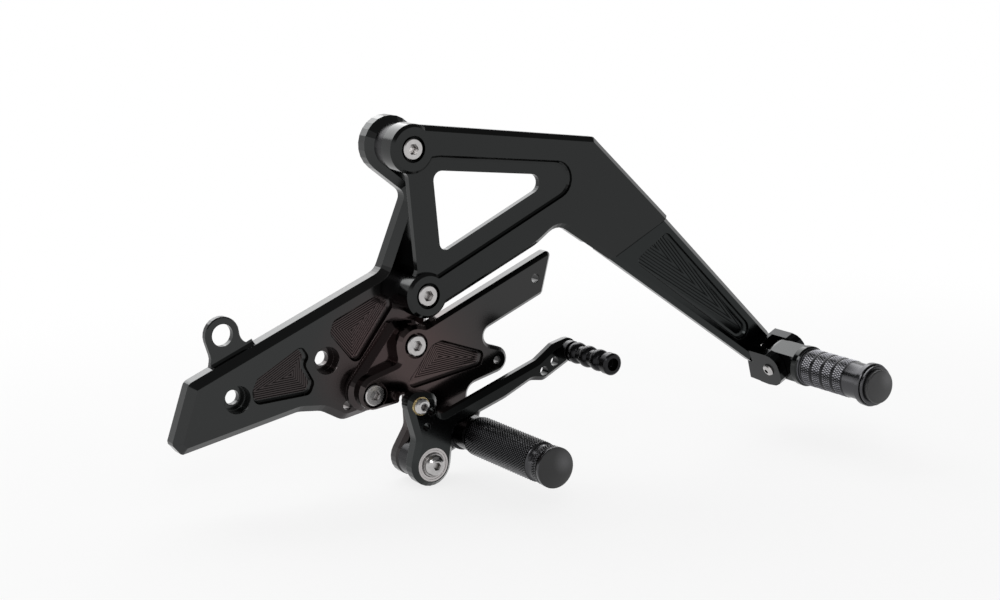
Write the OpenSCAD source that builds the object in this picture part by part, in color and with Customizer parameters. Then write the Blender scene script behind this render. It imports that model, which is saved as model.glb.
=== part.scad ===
/* [Depths, measured outwards from the frame side] */
// Thickness of the main plate
main_t = 12; // [11:0.5:14]
// Height of the raised pad that carries the front plate
pad_h = 6; // [5:0.5:8]
// Thickness of the front plate with the heel guard
front_t = 8.5; // [8:0.5:11]
// Length of the spacers under the passenger bracket
spacer_l = 10.5; // [8:0.5:20]
// Length of the two bosses of the passenger bracket
boss_l = 13; // [12:0.5:18]
// Thickness of the passenger bracket
bracket_t = 7.5; // [7:0.5:10]
// Length of the bushing behind the lever hub
bushing_l = 12.6; // [10:0.2:18]

/* [Edges] */
// Bevel round the main plate
main_bevel = 4.5; // [2:0.5:5]
// Bevel round the raised pad
pad_bevel = 3.6; // [2:0.2:4.4]
// Bevel round the front plate
front_bevel = 2.4; // [1:0.2:2.8]
// Bevel round the passenger bracket
bracket_bevel = 3.2; // [1:0.2:3.6]
// Bevel along the passenger arm
arm_bevel = 3.4; // [1:0.2:4]
// Bevel round the lever
lever_bevel = 3; // [1:0.5:4]
// Bevel on the rims of the bosses
boss_bevel = 1.8; // [0.4:0.2:2.4]

/* [Hole places on the plates, X then height] */
// Rear frame hole, the front one is the origin
frame_hole_2 = [59.6, 15.8];
// Spare hole of the main plate
spare_hole = [73, -14];
// Lower bolt of the front plate
plate_bolt_low = [84.2, -6.2];
// Upper bolt of the front plate
plate_bolt_high = [113.3, 20.9];
// Lower boss of the passenger bracket
boss_low = [116.7, 52.9];
// Upper boss of the passenger bracket
boss_high = [107.2, 142.3];
// Eye of the thin lug
eye = [-5, 38];
// Pivot of the shift lever
pivot = [111.2, -48.4];
// Axis of the rider peg
rider = [144.6, -35.5];
// Small hole in the front plate's rear lug
lug_hole = [171.7, 4.3];
// Small hole near the tip of the heel guard
heel_hole = [200.5, 53.3];

/* [Screws and holes] */
// Radius of the through part of a frame hole
frame_r = 4.5; // [4:0.1:5.2]
// Radius of the counterbore of a frame hole
frame_sink_r = 8.5; // [8:0.1:9.2]
// Depth of the counterbore of a frame hole
frame_sink_d = 7.5; // [3:0.5:9]
// Radius of the spare hole
spare_r = 3; // [2.5:0.1:4.4]
// Shank radius of the large screws
bolt_r = 4; // [3:0.25:4.25]
// Head radius of the large screws
bolt_head_r = 6.5; // [6:0.25:7]
// Head height of the large screws
bolt_head_h = 8; // [6:0.5:8.5]
// Head height of the upper screw in the front plate
high_head_h = 6; // [4.8:0.2:8]
// Head height of the low screw in the front plate
low_head_h = 5; // [4:0.2:5.4]
// Depth of the counterbores in the front plate
plate_sink_d = 5; // [4.6:0.2:5.6]
// Play round a screw in its hole
screw_play = 0.3; // [0.1:0.1:0.5]
// Play round a screw head in its counterbore
head_play = 1.5; // [0.5:0.1:1.7]
// Shank radius of the small screws
small_r = 3; // [2.5:0.25:3]
// Head radius of the small screws
small_head_r = 5.2; // [4.8:0.1:5.6]
// Radius of the hole in the eye
eye_r = 6.7; // [5:0.1:7.3]
// Wall round the eye
eye_wall = 4.3; // [3:0.1:4.6]
// Thickness of the thin lug
eye_t = 4; // [3:0.5:6]
// How far the thin lug stands clear of the frame
eye_back = 0.5; // [0.2:0.1:1]
// Radius of the hole in the rear lug
lug_hole_r = 2.5; // [1.5:0.1:3.2]
// Radius of the hole in the heel guard
heel_hole_r = 3; // [2:0.1:3.6]

/* [Bosses and spacers] */
// Radius of the upper boss
boss_high_r = 15; // [14:0.25:15.5]
// Radius of the lower boss
boss_low_r = 14; // [13.5:0.25:14.5]
// Radius of the spacers under the bosses
spacer_r = 13.4; // [11:0.2:13.4]

/* [Pockets] */
// Depth of the pockets in the main plate
pocket_d = 4.6; // [3:0.2:6]
// Depth of the pocket in the front plate
front_pocket_d = 4; // [3:0.2:5]
// Depth of the pocket in the passenger arm
arm_pocket_d = 3.6; // [2:0.2:4]
// Depth of the step round the bracket's window
step_d = 3.4; // [1:0.2:4]
// Radius of the cutter that rounds the pocket walls
cutter_r = 3; // [1:0.2:3.4]

/* [Shift lever] */
// Thickness of the lever
lever_t = 9.6; // [9:0.2:12]
// How much thinner the toe arm is than the hub, taken off its back
arm_relief = 3; // [0.5:0.25:3.5]
// Radius of the hub
hub_r = 13.8; // [12.5:0.1:14.2]
// Outer radius of the bearing
bearing_r = 10.5; // [10:0.1:11]
// Bore radius of the bearing
bearing_bore_r = 6; // [5.4:0.1:6.2]
// Width of the bearing
bearing_w = 5; // [4:0.2:6]
// Number of balls in the bearing
ball_count = 14; // [8:1:16]
// Screw that takes the gear linkage
linkage = [102.2, -10.1];
// First hole of the toe pad
pad_hole = [192.2, -0.8];
// Second hole of the toe pad
pad_hole_2 = [200, 4.3];
// Radius of the toe pad holes
pad_hole_r = 3; // [2.4:0.1:3.4]
// Axis of the toe peg
toe = [211, 10];
// Radius of the bulges of the toe peg
toe_r = 6.8; // [6:0.1:7.5]
// Radius of the necks between the bulges
toe_neck_r = 4; // [3.6:0.1:5]
// Distance from one bulge to the next
bulge_pitch = 11.5; // [10:0.5:15]
// Number of bulges on the toe peg
bulge_count = 3; // [2:1:4]

/* [Rider peg] */
// Radius of the knurled barrel
rider_r = 12.4; // [11.5:0.1:13.5]
// Radius of the base collar
rider_collar_r = 12.5; // [12:0.25:15]
// Thickness of the base collar
rider_collar_l = 6.5; // [5:0.5:9]
// Radius of the neck
rider_neck_r = 11; // [10:0.2:11.8]
// Length of the straight neck
rider_neck_l = 13; // [10:0.5:20]
// Length of the flare up to the barrel
rider_flare_l = 3.5; // [2:0.5:12]
// Length of the barrel with its end rings
rider_barrel_l = 80.5; // [75:0.5:95]
// Height of the domed end cap
rider_cap_l = 2; // [1.5:0.5:4]

/* [Passenger arm and peg] */
// Centre of the round arm tip
arm_tip = [379.5, -11.3];
// Radius of the round arm tip
arm_tip_r = 11.9; // [11:0.1:13]
// Hinge pin centre, X and height
hinge = [386, -18];
// How far the hinge pin stands off the arm's outer face
hinge_off = 15; // [15:0.2:18]
// Tilt of the hinge pin above the horizontal, degrees
hinge_tilt = 27.8; // [20:0.2:36]
// Thickness of each clevis ear
ear_t = 6.2; // [5:0.2:8]
// Width of the tang between the ears
tang_w = 13.6; // [12:0.2:15]
// Play on each side of the tang
tang_play = 0.3; // [0.2:0.1:0.6]
// Half height of the tang
tang_h = 11.4; // [10:0.1:11.4]
// Radius of the hinge pin
pin_r = 3; // [2.5:0.1:3.5]
// Radius of the disc behind the knurled sleeve
peg_disc_r = 13.5; // [12.6:0.1:14]
// Radius of the knurled sleeve
sleeve_r = 12.4; // [11:0.1:13]
// Length of the knurled part of the sleeve
knurl_l = 39.5; // [34:0.5:60]
// Length of the smooth band behind the end flange
band_l = 12.9; // [6:0.1:18]
// Radius of the end flange
flange_r = 14; // [12.6:0.1:14]
// Thickness of the end flange
flange_l = 4.5; // [3:0.5:6]
// Height of the domed end cap
peg_cap_l = 4.5; // [3:0.5:8]

/* [Hidden] */

// Depth planes: the frame side of the main plate is 0 and outwards is negative
main_face = -main_t;
pad_face = main_face - pad_h;
front_face = pad_face - front_t;
boss_back = main_face - spacer_l;
bracket_face = boss_back - boss_l;
bracket_back = bracket_face + bracket_t;
arm_back = bracket_back + 0.5;
lap_plane = bracket_back - bracket_t * 0.5;
hub_gap = 0.3;
lever_back = front_face - bushing_l - hub_gap;
lever_face = lever_back - lever_t;
relief_x = 127;
toe_seat = lever_back - arm_relief - 3;
plate_seat = front_face + plate_sink_d;
boss_seat = bracket_face + bolt_head_h;
collar_face = front_face - rider_collar_l;
neck_face = collar_face - rider_neck_l;
flare_face = neck_face - rider_flare_l;
barrel_face = flare_face - rider_barrel_l;
hinge_y = bracket_face - hinge_off;
ear_x = tang_w / 2 + tang_play;
web_t = hinge_off - tang_h - tang_play;
disc_y = -22.5;
sleeve_y = disc_y - 6;
lead_l = 2.6;
knurl_y = sleeve_y - lead_l;
flange_y = knurl_y - knurl_l - band_l;
peg_end_y = flange_y - flange_l - 2.5;

// Bearing parts, all from the same radii
bearing_face = lever_face + 0.4;
bearing_back = bearing_face + bearing_w;
ball_ring_r = (bearing_r + bearing_bore_r) / 2;
ball_r = (bearing_r - bearing_bore_r) * 0.27;
race_play = 0.05;
race_gap = ball_r * 0.72;

bore_fn = 64;
arc_step = 15;
least_r = 0.4;
anodised = [0.07, 0.07, 0.08];
satin = [0.12, 0.12, 0.13];
steel = [0.78, 0.78, 0.8];
rubber = [0.03, 0.03, 0.03];
gold = [0.75, 0.6, 0.28];

// A belt is the outline that a tight band takes round a list of discs [x, height, radius].
// A positive radius lies inside the band and a negative one outside it, as a hollow.
// An entry with a fourth value is a corner that is rounded with the radius given.
function bare(e) = len(e) > 3 ? [e[0], e[1], 0] : e;
function band_angle(a, b) =
    let (dx = b[0] - a[0], dz = b[1] - a[1])
    atan2(dz, dx) + asin(max(-1, min(1, (a[2] - b[2]) / sqrt(dx * dx + dz * dz))));
function side(a) = [sin(a), -cos(a)];
function mitre(a, b) = (side(a) + side(b)) / (1 + side(a) * side(b));
function wrapped(turn) = turn - 360 * floor(turn / 360);
function corner_disc(before, e, after) =
    let (
        a = band_angle(bare(before), bare(e)),
        b = band_angle(bare(e), bare(after)),
        r = wrapped(b - a) < 180 ? e[2] : -e[2],
        m = mitre(a, b)
    )
    [e[0] - r * m[0], e[1] - r * m[1], r];
function discs_of(list) =
    let (n = len(list))
    [
        for (i = [0 : n - 1])
            len(list[i]) > 3
                ? corner_disc(list[(i + n - 1) % n], list[i], list[(i + 1) % n])
                : list[i]
    ];
function belt(list, inset = 0) =
    let (discs = discs_of(list), n = len(discs))
    [
        for (i = [0 : n - 1])
            let (
                d = discs[i],
                a = band_angle(discs[(i + n - 1) % n], d),
                b = band_angle(d, discs[(i + 1) % n]),
                up = wrapped(b - a),
                turn = d[2] > 0 ? up : up - 360,
                small = d[2] > 0 && d[2] < 2.5,
                steps = small ? 1 : max(1, ceil(abs(turn) / arc_step)),
                left = d[2] - inset,
                r = d[2] > 0 ? max(left, least_r) : left,
                m = mitre(a, b),
                x = d[0] + (left - r) * m[0],
                z = d[1] + (left - r) * m[1]
            )
            for (k = [0 : steps])
                [x + r * sin(a + turn * k / steps), z - r * cos(a + turn * k / steps)]
    ];

// A solid through several belts of one list, the sections are [height, inset]
module loft(list, sections) {
    rings = [for (s = sections) belt(list, s[1])];
    n = len(rings[0]);
    last = len(sections) - 1;
    points = [for (k = [0 : last]) for (p = rings[k]) [p[0], p[1], sections[k][0]]];
    sides = [
        for (k = [0 : last - 1])
            for (i = [0 : n - 1])
                let (a = k * n + i, b = k * n + (i + 1) % n)
                each [[a, a + n, b + n], [a, b + n, b]]
    ];
    bottom = [for (i = [0 : n - 1]) i];
    top = [for (i = [n - 1 : -1 : 0]) last * n + i];
    // Asked for its own size, so that its hollow outline is closed with a proper mesh
    resize([0, 0, 0])
        polyhedron(points = points, faces = concat([bottom, top], sides), convexity = 8);
}

// Stands a shape drawn in X and height on a depth plane, growing outwards
module plane(y) {
    translate([0, y, 0])
        rotate([90, 0, 0])
            children();
}

// A plate from one depth plane outwards, bevelled round its outer face
module bevelled(list, y, t, bevel) {
    plane(y)
        loft(list, [[0, 0], [t - bevel, 0], [t, bevel]]);
}

// A pocket sunk from an outer face, its walls rounded by the cutter at the floor
module pocket(list, face, d) {
    r = min(cutter_r, d - 0.1);
    rounds = [for (a = [0 : 30 : 90]) [-d + r * (1 - cos(a)), r * (1 - sin(a))]];
    plane(face)
        loft(list, concat(rounds, [[1, 0]]));
}

// A round hole or pin along the depth, from one plane outwards to another
module rod(place, r, from, to) {
    translate([place[0], from, place[1]])
        rotate([90, 0, 0])
            cylinder(h = from - to, r = r, $fn = bore_fn);
}

// A turned piece along the depth, its profile holds [radius, outward distance] points
module turned(place, from, profile) {
    translate([place[0], from, place[1]])
        rotate([90, 0, 0])
            rotate_extrude($fn = bore_fn)
                polygon(profile);
}

// A hexagon socket cut inwards from a head face
module hex_socket(place, face, across_r, d) {
    translate([place[0], face + d, place[1]])
        rotate([90, 0, 0])
            cylinder(h = d + 1, r = across_r, $fn = 6);
}

// A socket head screw that sits on a seat plane with its head outwards
module socket_screw(place, seat, r, head_r, head_h, l) {
    difference() {
        union() {
            turned(place, seat, [
                [0, -1],
                [r, 0],
                [head_r, 0],
                [head_r, head_h - 0.6],
                [head_r - 0.6, head_h],
                [0, head_h]
            ]);
            turned(place, seat + l, [[0, 0], [r - 0.8, 0], [r, 0.8], [r, l], [0, l]]);
        }
        hex_socket(place, seat - head_h, head_r * 0.54, head_h * 0.55);
    }
}

// A button head screw that sits on a seat plane with its head outwards
module button_screw(place, seat, r, head_r, head_h, l) {
    difference() {
        union() {
            turned(place, seat, [
                [0, -1],
                [r, 0],
                [head_r, 0],
                [head_r, head_h * 0.25],
                [head_r * 0.9, head_h * 0.62],
                [head_r * 0.7, head_h * 0.9],
                [head_r * 0.5, head_h],
                [0, head_h]
            ]);
            turned(place, seat + l, [[0, 0], [r - 0.6, 0], [r, 0.6], [r, l], [0, l]]);
        }
        hex_socket(place, seat - head_h, head_r * 0.42, head_h * 0.7);
    }
}

// Outlines in the plane of the plates
main_outline = [
    [-34.5, -29.2, 1.5, 1],
    [41.5, -14.2, 12, 1],
    [57, -15.8, 12, 1],
    [spare_hole[0], spare_hole[1], 9.3],
    [plate_bolt_low[0], plate_bolt_low[1], 14.9],
    [plate_bolt_high[0], plate_bolt_high[1], 16.8],
    [boss_low[0], boss_low[1], 17.5],
    [128, 112, 6],
    [boss_high[0], boss_high[1], 17.7],
    [118, 111.6, 6, 1],
    [99.2, 65.4, 10, 1],
    [-28.8, 12.6, 5, 1],
    [-40.4, -22.3, 2, 1]
];
eye_outline = [
    [-15, 8, 1, 1],
    [26, 26, 1, 1],
    [13.7, 38.8, -7.7],
    [eye[0], eye[1], eye_r + eye_wall],
    [-12.2, 24.5, 8, 1]
];
pocket_1 = [
    [10.5, -5.1, 5, 1],
    [48, -3.6, 4.6, 1],
    [51, 3.5, 4, 1],
    [44.6, 15.2, 4, 1],
    [47.9, 19.5, 3.8, 1],
    [42.8, 27.4, 4, 1],
    [13, 11, 5, 1],
    [9.6, 4, 5, 1]
];
pocket_2 = [
    [79.6, 9.6, 5, 1],
    [107.6, 46.5, 5, 1],
    [97, 53.3, 5, 1],
    [63.9, 39.4, 5, 1],
    [61.8, 31.4, 4, 1]
];
pad_outline = [
    [plate_bolt_low[0], plate_bolt_low[1], 12.2],
    [plate_bolt_high[0], plate_bolt_high[1], 14],
    [101.8, 35, 2, 1]
];
front_outline = [
    [pivot[0], pivot[1], 12],
    [rider[0], rider[1] + 1, 12.5],
    [161.2, -27.5, 2.5, 1],
    [150.8, -19.5, 3, 1],
    [150.6, -9.8, 8, 1],
    [lug_hole[0], lug_hole[1], 8.4],
    [169.2, 20.2, -6],
    [207, 42.6, 2, 1],
    [214.2, 71.4, 3, 1],
    [120.2, 36.2, -4],
    [plate_bolt_high[0], plate_bolt_high[1], 12.7],
    [98.3, 13.6, -3.4],
    [plate_bolt_low[0] + 0.6, plate_bolt_low[1] + 1.3, 10.7],
    [102.2, -13.5, 1, 1],
    [104.8, -11.4, -2.6],
    [108.6, -29.5, 8, 1]
];
front_pocket = [
    [159.6, 2.4, 4, 1],
    [162.6, 11.2, 4, 1],
    [131, 22.4, 5, 1],
    [124.4, 20, 4.6, 1],
    [112, -1.3, 4]
];
seam = [[256.2, 62.6], [296.5, 83.4]];
seam_dir = seam[1] - seam[0];
seam_angle = atan2(seam_dir[1], seam_dir[0]);
bracket_outline = [
    [boss_low[0], boss_low[1], 11.4],
    [197, 76.2, 20, 1],
    [213, 87.4, 11, 1],
    [271.5, 49, 1, 1],
    [312.8, 72.2, 1, 1],
    [239.8, 140.4, 3, 1],
    [boss_high[0], boss_high[1], 14.6],
    [100.9, 123.9, -4.7],
    [106.1, 68.7, -5]
];
window_outline = [
    [127.5, 76.9, 4.5, 1],
    [215.3, 118, 6, 1],
    [122.1, 128.3, 5.5, 1]
];
step_outline = [
    [100, 62.8, 4, 1],
    [124.5, 62.8, 5, 1],
    [209.5, 115.8, 12.2],
    [126, 137.4, 5, 1],
    [100, 136.5, 4, 1]
];
arm_outline = [
    [243, 68.4, 1, 1],
    [arm_tip[0], arm_tip[1], arm_tip_r],
    [283, 98.5, 1, 1]
];
arm_pocket = [
    [271.6, 57.8, 4, 1],
    [361.4, 2.4, 7],
    [297.4, 75.2, 4, 1]
];
lever_outline = [
    [pivot[0], pivot[1], hub_r],
    [127.4, -27.5, 4, 1],
    [164.3, -15.1, 20, 1],
    [183.6, -6.1, 6, 1],
    [pad_hole[0], pad_hole[1], 6.5],
    [toe[0], toe[1], 7.4],
    [199.8, 14.8, 4, 1],
    [187.6, 6.2, 8, 1],
    [115.6, -19.6, 4, 1],
    [109.3, -9.6, 6],
    [102.3, -9.8, 7.5],
    [101, -32, 8, 1]
];
// Side view of an ear: distance outwards from the pin, then height over it
ear_front = [
    [-hinge_off, -13.7],
    [-7, -14.3],
    [1, -13.4],
    [5.6, -11],
    [9.2, -7],
    [10.8, -1],
    [11.2, 6],
    [9.8, 9.4],
    [6.8, 11.6],
    [2.5, 12.5],
    [-hinge_off, 12.5]
];
ear_rear = [[-25, -12.6], [-hinge_off + 1, -13.4], [-hinge_off + 1, 11.6], [-19.2, 6]];

module main_plate() {
    color(anodised)
        difference() {
            union() {
                bevelled(main_outline, 0, main_t, main_bevel);
                bevelled(pad_outline, main_face + 2, pad_h + 2, pad_bevel);
                bevelled(eye_outline, -eye_back, eye_t, 0.6);
            }
            for (place = [[0, 0], frame_hole_2]) {
                rod(place, frame_r, 1, main_face - 1);
                rod(place, frame_sink_r, main_face + frame_sink_d, main_face - 1);
            }
            rod(spare_hole, spare_r, 1, main_face - 1);
            rod(eye, eye_r, 1, -eye_back - eye_t - 1);
            rod(boss_low, bolt_r + screw_play, 1, main_face - 1);
            rod(boss_high, bolt_r + screw_play, 1, main_face - 1);
            rod(plate_bolt_low, bolt_r + screw_play, 1, pad_face - 1);
            rod(plate_bolt_high, bolt_r + screw_play, 1, pad_face - 1);
            pocket(pocket_1, main_face, pocket_d);
            pocket(pocket_2, main_face, pocket_d);
        }
}

module front_plate() {
    color(anodised)
        difference() {
            bevelled(front_outline, pad_face, front_t, front_bevel);
            for (place = [plate_bolt_low, plate_bolt_high]) {
                rod(place, bolt_r + screw_play, pad_face + 1, front_face - 1);
                rod(place, bolt_head_r + head_play, plate_seat, front_face - 1);
            }
            rod(pivot, small_r + screw_play, pad_face + 1, front_face - 1);
            rod(rider, bolt_r + screw_play, pad_face + 1, front_face - 1);
            rod(lug_hole, lug_hole_r, pad_face + 1, front_face - 1);
            rod(heel_hole, heel_hole_r, pad_face + 1, front_face - 1);
            pocket(front_pocket, front_face, front_pocket_d);
        }
}

// A slab on one side of the seam between the bracket and its arm
module seam_slab(sign, from, to, shift) {
    translate([seam[0][0], from, seam[0][1]])
        rotate([0, -seam_angle, 0])
            translate([-30, to - from, sign > 0 ? shift : -90 + shift])
                cube([110, from - to, 90]);
}

lap_l = 20;
lap_screws = [[20, lap_l / 2 - 1], [33, lap_l / 2 - 1]];

// Places along the seam: first distance along it, then distance towards the bracket
function seam_place(p) = [
    seam[0][0] + p[0] * cos(seam_angle) - p[1] * sin(seam_angle),
    seam[0][1] + p[0] * sin(seam_angle) + p[1] * cos(seam_angle)
];

module passenger_bracket() {
    color(anodised)
        difference() {
            union() {
                difference() {
                    bevelled(bracket_outline, bracket_back, bracket_t, bracket_bevel);
                    pocket(step_outline, bracket_face, step_d);
                    plane(bracket_back + 1)
                        loft(window_outline, [[0, 0], [bracket_t + 2, 0]]);
                    seam_slab(-1, bracket_back + 1, bracket_face - 1, 0);
                    seam_slab(-1, bracket_back + 1, lap_plane, lap_l);
                }
                turned(boss_low, boss_back, [
                    [0, 0],
                    [boss_low_r, 0],
                    [boss_low_r, boss_l - boss_bevel],
                    [boss_low_r - boss_bevel, boss_l],
                    [0, boss_l]
                ]);
                turned(boss_high, boss_back, [
                    [0, 0],
                    [boss_high_r, 0],
                    [boss_high_r, boss_l - boss_bevel],
                    [boss_high_r - boss_bevel, boss_l],
                    [0, boss_l]
                ]);
            }
            for (place = [boss_low, boss_high]) {
                rod(place, bolt_r + screw_play, boss_back + 1, bracket_face - 1);
                rod(place, bolt_head_r + head_play, boss_seat, bracket_face - 1);
            }
            for (p = lap_screws)
                rod(seam_place(p), 2.5, lap_plane + 1, bracket_face + 1.2);
        }
}

module passenger_arm() {
    color(anodised)
        difference() {
            bevelled(arm_outline, arm_back, arm_back - bracket_face, arm_bevel);
            seam_slab(1, lap_plane, bracket_face - 1, 0);
            seam_slab(1, arm_back + 1, bracket_face - 1, lap_l);
            pocket(arm_pocket, bracket_face, arm_pocket_d);
            rod(arm_tip, small_r + screw_play, arm_back + 1, bracket_face - 1);
            for (p = lap_screws)
                rod(seam_place(p), 2.5 + screw_play, arm_back + 1, lap_plane - 1);
        }
}

module upper_spacer() {
    color(satin)
        difference() {
            rod(boss_high, spacer_r, main_face, boss_back);
            rod(boss_high, bolt_r + screw_play, main_face + 1, boss_back - 1);
        }
}

module lower_spacer() {
    color(satin)
        difference() {
            rod(boss_low, spacer_r, main_face, boss_back);
            rod(boss_low, bolt_r + screw_play, main_face + 1, boss_back - 1);
        }
}

module bracket_bolts() {
    color(steel)
        for (place = [boss_low, boss_high])
            socket_screw(place, boss_seat, bolt_r, bolt_head_r, bolt_head_h, -boss_seat - 1);
}

module plate_bolts() {
    color(steel) {
        l = -plate_seat - 1;
        socket_screw(plate_bolt_low, plate_seat, bolt_r, bolt_head_r, low_head_h, l);
        socket_screw(plate_bolt_high, plate_seat, bolt_r, bolt_head_r, high_head_h, l);
    }
}

// The screws of the lap come from the frame side, so they are turned round
module arm_screws() {
    color(steel)
        for (p = lap_screws)
            translate([0, arm_back * 2, 0])
                mirror([0, 1, 0])
                    button_screw(seam_place(p), arm_back, 2.5 - 0.05, 4.6, 2.8, 6.2);
}

module shift_lever() {
    color(anodised)
        difference() {
            bevelled(lever_outline, lever_back, lever_t, lever_bevel);
            rod(pivot, bearing_r + race_play, bearing_back, lever_face - 1);
            rod(pivot, bearing_r - 1.6, lever_back + 1, lever_face - 1);
            rod(linkage, small_r + screw_play, lever_back + 1, lever_face - 1);
            rod([110.3, -15], 2.5, lever_back + 1, lever_face - 1);
            rod([106.7, -24], 2.5, lever_back + 1, lever_face - 1);
            rod(pad_hole, pad_hole_r, lever_back + 1, lever_face - 1);
            rod(pad_hole_2, pad_hole_r, lever_back + 1, lever_face - 1);
            rod(toe, small_r + screw_play, lever_back + 1, lever_face - 1);
            rod(toe, small_head_r + 0.4, lever_back + 1, toe_seat);
            translate([relief_x, lever_back - arm_relief, pivot[1] - 20])
                cube([150, arm_relief + 1, 120]);
        }
}

// The groove of a ball race
module race_groove() {
    translate([pivot[0], (bearing_face + bearing_back) / 2, pivot[1]])
        rotate([90, 0, 0])
            rotate_extrude($fn = bore_fn)
                translate([ball_ring_r, 0])
                    circle(r = ball_r + race_play, $fn = 32);
}

module bearing_outer_ring() {
    color(steel)
        difference() {
            rod(pivot, bearing_r, bearing_back, bearing_face);
            rod(pivot, ball_ring_r + race_gap, bearing_back + 1, bearing_face - 1);
            race_groove();
        }
}

module bearing_inner_ring() {
    color(steel)
        difference() {
            rod(pivot, ball_ring_r - race_gap, bearing_back, bearing_face);
            rod(pivot, bearing_bore_r, bearing_back + 1, bearing_face - 1);
            race_groove();
        }
}

module bearing_balls() {
    color(steel)
        for (k = [0 : ball_count - 1])
            translate([pivot[0], (bearing_face + bearing_back) / 2, pivot[1]])
                rotate([0, k * 360 / ball_count, 0])
                    translate([ball_ring_r, 0, 0])
                        sphere(r = ball_r, $fn = 24);
}

// Two thin rings that close the ball space
module bearing_shield() {
    color(satin)
        for (face = [bearing_face + 0.2, bearing_back - 0.7])
            difference() {
                rod(pivot, ball_ring_r + race_gap - 0.02, face + 0.5, face);
                rod(pivot, ball_ring_r - race_gap + 0.3, face + 1, face - 1);
            }
}

module pivot_bushing() {
    color(satin)
        difference() {
            union() {
                rod(pivot, 11.5, front_face, lever_back + hub_gap);
                rod(pivot, ball_ring_r - race_gap, front_face, bearing_back);
                rod(pivot, bearing_bore_r - 0.02, front_face, bearing_face + 0.5);
            }
            rod(pivot, small_r + screw_play, front_face + 1, bearing_face - 1);
        }
}

module pivot_washer() {
    color(steel)
        difference() {
            rod(pivot, 7, bearing_face, bearing_face - 1);
            rod(pivot, small_r + screw_play, bearing_face + 1, bearing_face - 2);
        }
}

module pivot_screw() {
    color(steel)
        button_screw(
            pivot, bearing_face - 1, small_r, 6.4, 3.6, pad_face - bearing_face
        );
}

module linkage_washer() {
    color(gold)
        difference() {
            rod(linkage, 5.6, lever_face, lever_face - 1.2);
            rod(linkage, small_r + screw_play, lever_face + 1, lever_face - 3);
        }
}

module linkage_screw() {
    color(steel)
        button_screw(linkage, lever_face - 1.2, small_r, 5, 3.6, lever_t + 9.5);
}

module toe_peg() {
    color(anodised)
        difference() {
            turned(toe, lever_face, concat(
                [[0, 0], [6.5, 0], [6.5, 4.2], [toe_neck_r, 4.2 + 0.01]],
                [
                    for (k = [0 : bulge_count - 1])
                        for (a = [-65 : 13 : 65])
                            [
                                toe_neck_r + (toe_r - toe_neck_r) * cos(a),
                                9.2 + k * bulge_pitch + 4.6 * sin(a)
                            ]
                ],
                [
                    [toe_neck_r, 5 + bulge_count * bulge_pitch],
                    [toe_neck_r, 5.3 + bulge_count * bulge_pitch],
                    [toe_r - 0.6, 5.3 + bulge_count * bulge_pitch],
                    [toe_r, 6 + bulge_count * bulge_pitch],
                    [toe_r, 10.5 + bulge_count * bulge_pitch],
                    [toe_r - 1, 11.5 + bulge_count * bulge_pitch],
                    [0, 11.5 + bulge_count * bulge_pitch]
                ]
            ));
            rod(toe, small_r + 0.05, lever_face + 1, lever_face - 20);
            rod(toe, toe_neck_r, lever_face - 5.6 - bulge_count * bulge_pitch, lever_face - 100);
        }
}

module toe_peg_screw() {
    color(steel)
        translate([0, toe_seat * 2, 0])
            mirror([0, 1, 0])
                socket_screw(toe, toe_seat, small_r, small_head_r, 3.6, 19);
}

module rider_peg_base() {
    color(anodised)
        difference() {
            turned(rider, front_face, [
                [0, 0],
                [rider_collar_r, 0],
                [rider_collar_r, rider_collar_l - 1],
                [rider_collar_r - 1, rider_collar_l],
                [rider_neck_r, rider_collar_l],
                [rider_neck_r, rider_collar_l + rider_neck_l],
                [rider_neck_r - 2, rider_collar_l + rider_neck_l],
                [rider_neck_r - 2, rider_collar_l + rider_neck_l + 20],
                [0, rider_collar_l + rider_neck_l + 20]
            ]);
            rod(rider, bolt_r + 0.05, front_face + 1, front_face - 24);
        }
}

module rider_peg_barrel() {
    color(anodised)
        difference() {
            turned(rider, neck_face, [
                [0, 0],
                [rider_neck_r, 0],
                [rider_r - 0.5, rider_flare_l - 0.6],
                [rider_r, rider_flare_l],
                [rider_r, rider_flare_l + rider_barrel_l - 14.5],
                [rider_r - 1.4, rider_flare_l + rider_barrel_l - 13.5],
                [rider_r - 1.4, rider_flare_l + rider_barrel_l - 8.2],
                [rider_r, rider_flare_l + rider_barrel_l - 7.5],
                [rider_r, rider_flare_l + rider_barrel_l - 3],
                [rider_r - 0.8, rider_flare_l + rider_barrel_l - 2.6],
                [rider_r, rider_flare_l + rider_barrel_l - 2],
                [rider_r, rider_flare_l + rider_barrel_l],
                [0, rider_flare_l + rider_barrel_l]
            ]);
            rod(rider, rider_neck_r - 1.95, neck_face + 1, neck_face - 20.2);
            rod(rider, 6, barrel_face + 20, barrel_face - 1);
        }
}

module rider_peg_cap() {
    color(rubber)
        turned(rider, barrel_face + 16, [
            [0, 0],
            [5.9, 0],
            [5.9, 16],
            [rider_r - 0.8, 16],
            [rider_r - 1, 16.4],
            [rider_r - 3.6, 16 + rider_cap_l * 0.8],
            [rider_r - 7, 16 + rider_cap_l],
            [0, 16 + rider_cap_l]
        ]);
}

module rider_peg_bolt() {
    color(steel)
        translate([0, pad_face * 2, 0])
            mirror([0, 1, 0])
                socket_screw(rider, pad_face, bolt_r, bolt_head_r, bolt_head_h, front_t + 22);
}

// Moves a shape drawn round the hinge pin to its place; X runs along the pin
module at_hinge() {
    translate([hinge[0], hinge_y, hinge[1]])
        rotate([0, -hinge_tilt, 0])
            children();
}

// A hole or pin along the hinge axis
module hinge_rod(r, from, to) {
    translate([from, 0, 0])
        rotate([0, 90, 0])
            cylinder(h = to - from, r = r, $fn = bore_fn);
}

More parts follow.
